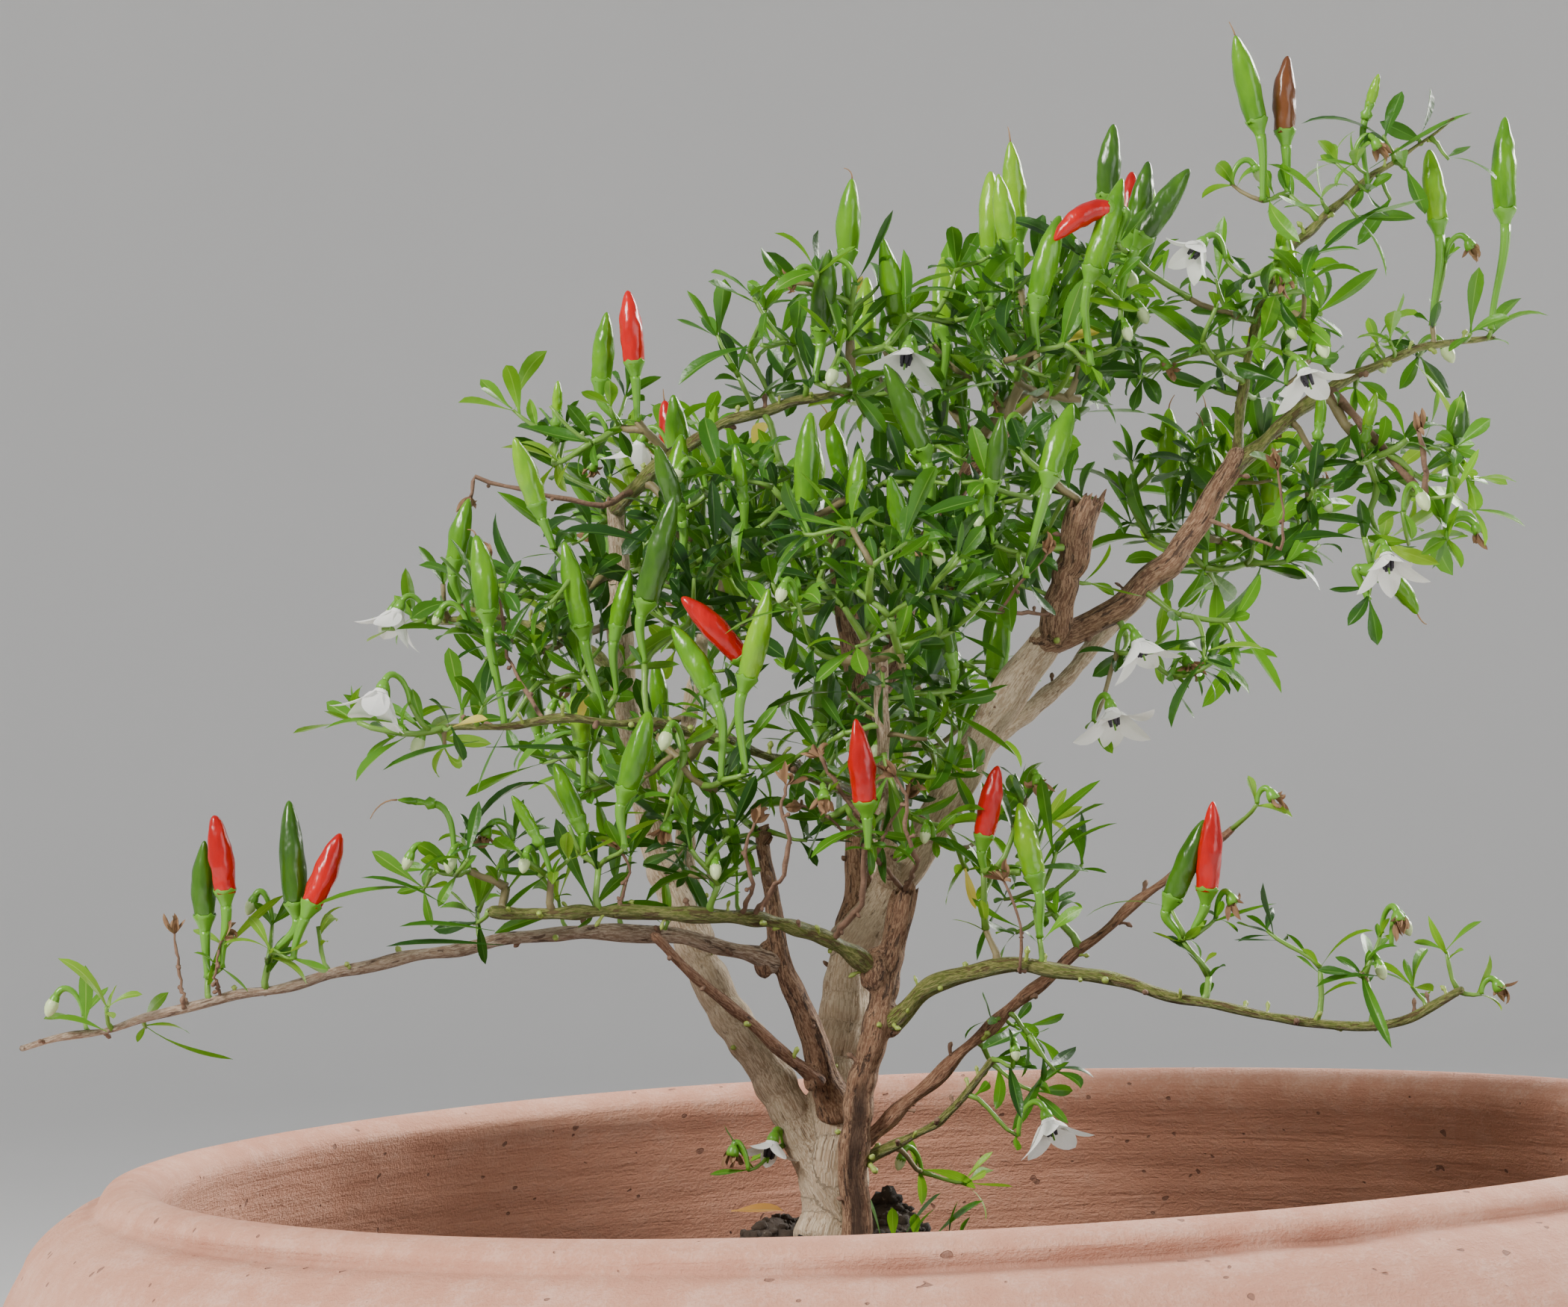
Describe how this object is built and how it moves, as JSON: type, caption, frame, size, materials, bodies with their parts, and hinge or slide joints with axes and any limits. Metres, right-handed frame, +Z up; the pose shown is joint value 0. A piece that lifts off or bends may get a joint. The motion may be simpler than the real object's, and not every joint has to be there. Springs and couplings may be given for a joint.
{
  "type": "potted chilli pepper plant",
  "caption": "Small tree-shaped chilli plant with upright slim fruit, white flowers and an open leafy crown, standing in a wide round-shouldered terracotta pot of soil.",
  "frame": {"origin": "centre of the pot's flat underside, on the surface it stands on", "axes": "+Z up, -Y the front of the plant, +X to the right as seen from the front"},
  "size_m": [0.494, 0.494, 0.6254],
  "materials": {
    "terracotta": "matte",
    "soil": "matte",
    "grey_bark": "matte",
    "brown_bark": "matte",
    "green_stem": "satin",
    "foliage": "satin"
  },
  "bodies": {
    "root": {"pot": "terracotta", "soil": "soil", "trunk": "grey_bark", "front_stem": "brown_bark", "left_limb": "grey_bark", "right_limb": "grey_bark", "centre_limb": "brown_bark", "inner_limb": "brown_bark", "right_stub": "brown_bark", "right_arm": "brown_bark", "top_centre_limb": "brown_bark", "low_left_arm": "brown_bark", "green_left_arm": "green_stem", "low_right_arm": "green_stem", "top_sprig": "green_stem", "right_tip_run": "green_stem", "upper_left_run": "green_stem", "mid_left_arm": "green_stem", "left_back_arm": "green_stem", "stick_left": "brown_bark", "stick_right": "brown_bark", "under_right_twig": "green_stem", "back_left_bough": "grey_bark", "back_centre_bough": "grey_bark", "back_upper_bough": "brown_bark", "back_right_bough": "grey_bark", "front_bough": "grey_bark", "top_pods": "foliage", "top_sprig_leaves": "foliage", "right_tip_pods": "foliage", "right_tip_leaves": "foliage", "crown_top_right": "foliage", "crown_top_centre": "foliage", "crown_top_left": "foliage", "right_mid": "foliage", "crown_centre": "foliage", "crown_mid_left": "foliage", "upper_left": "foliage", "left_mid": "foliage", "left_back": "foliage", "left_flower_spray": "foliage", "lower_centre": "foliage", "lower_mid_left": "foliage", "lower_left": "foliage", "low_left_spray": "foliage", "arm_tip_leaves": "foliage", "lower_right": "foliage", "right_low_spray": "foliage", "right_low_tip": "foliage", "under_right": "foliage", "base_right": "foliage", "base_left": "foliage", "right_lower_leaves": "foliage", "back_upper": "foliage", "back_left": "foliage", "back_right": "foliage", "back_low": "foliage", "front_centre": "foliage", "back_low_left": "foliage"}
  },
  "joints": []
}
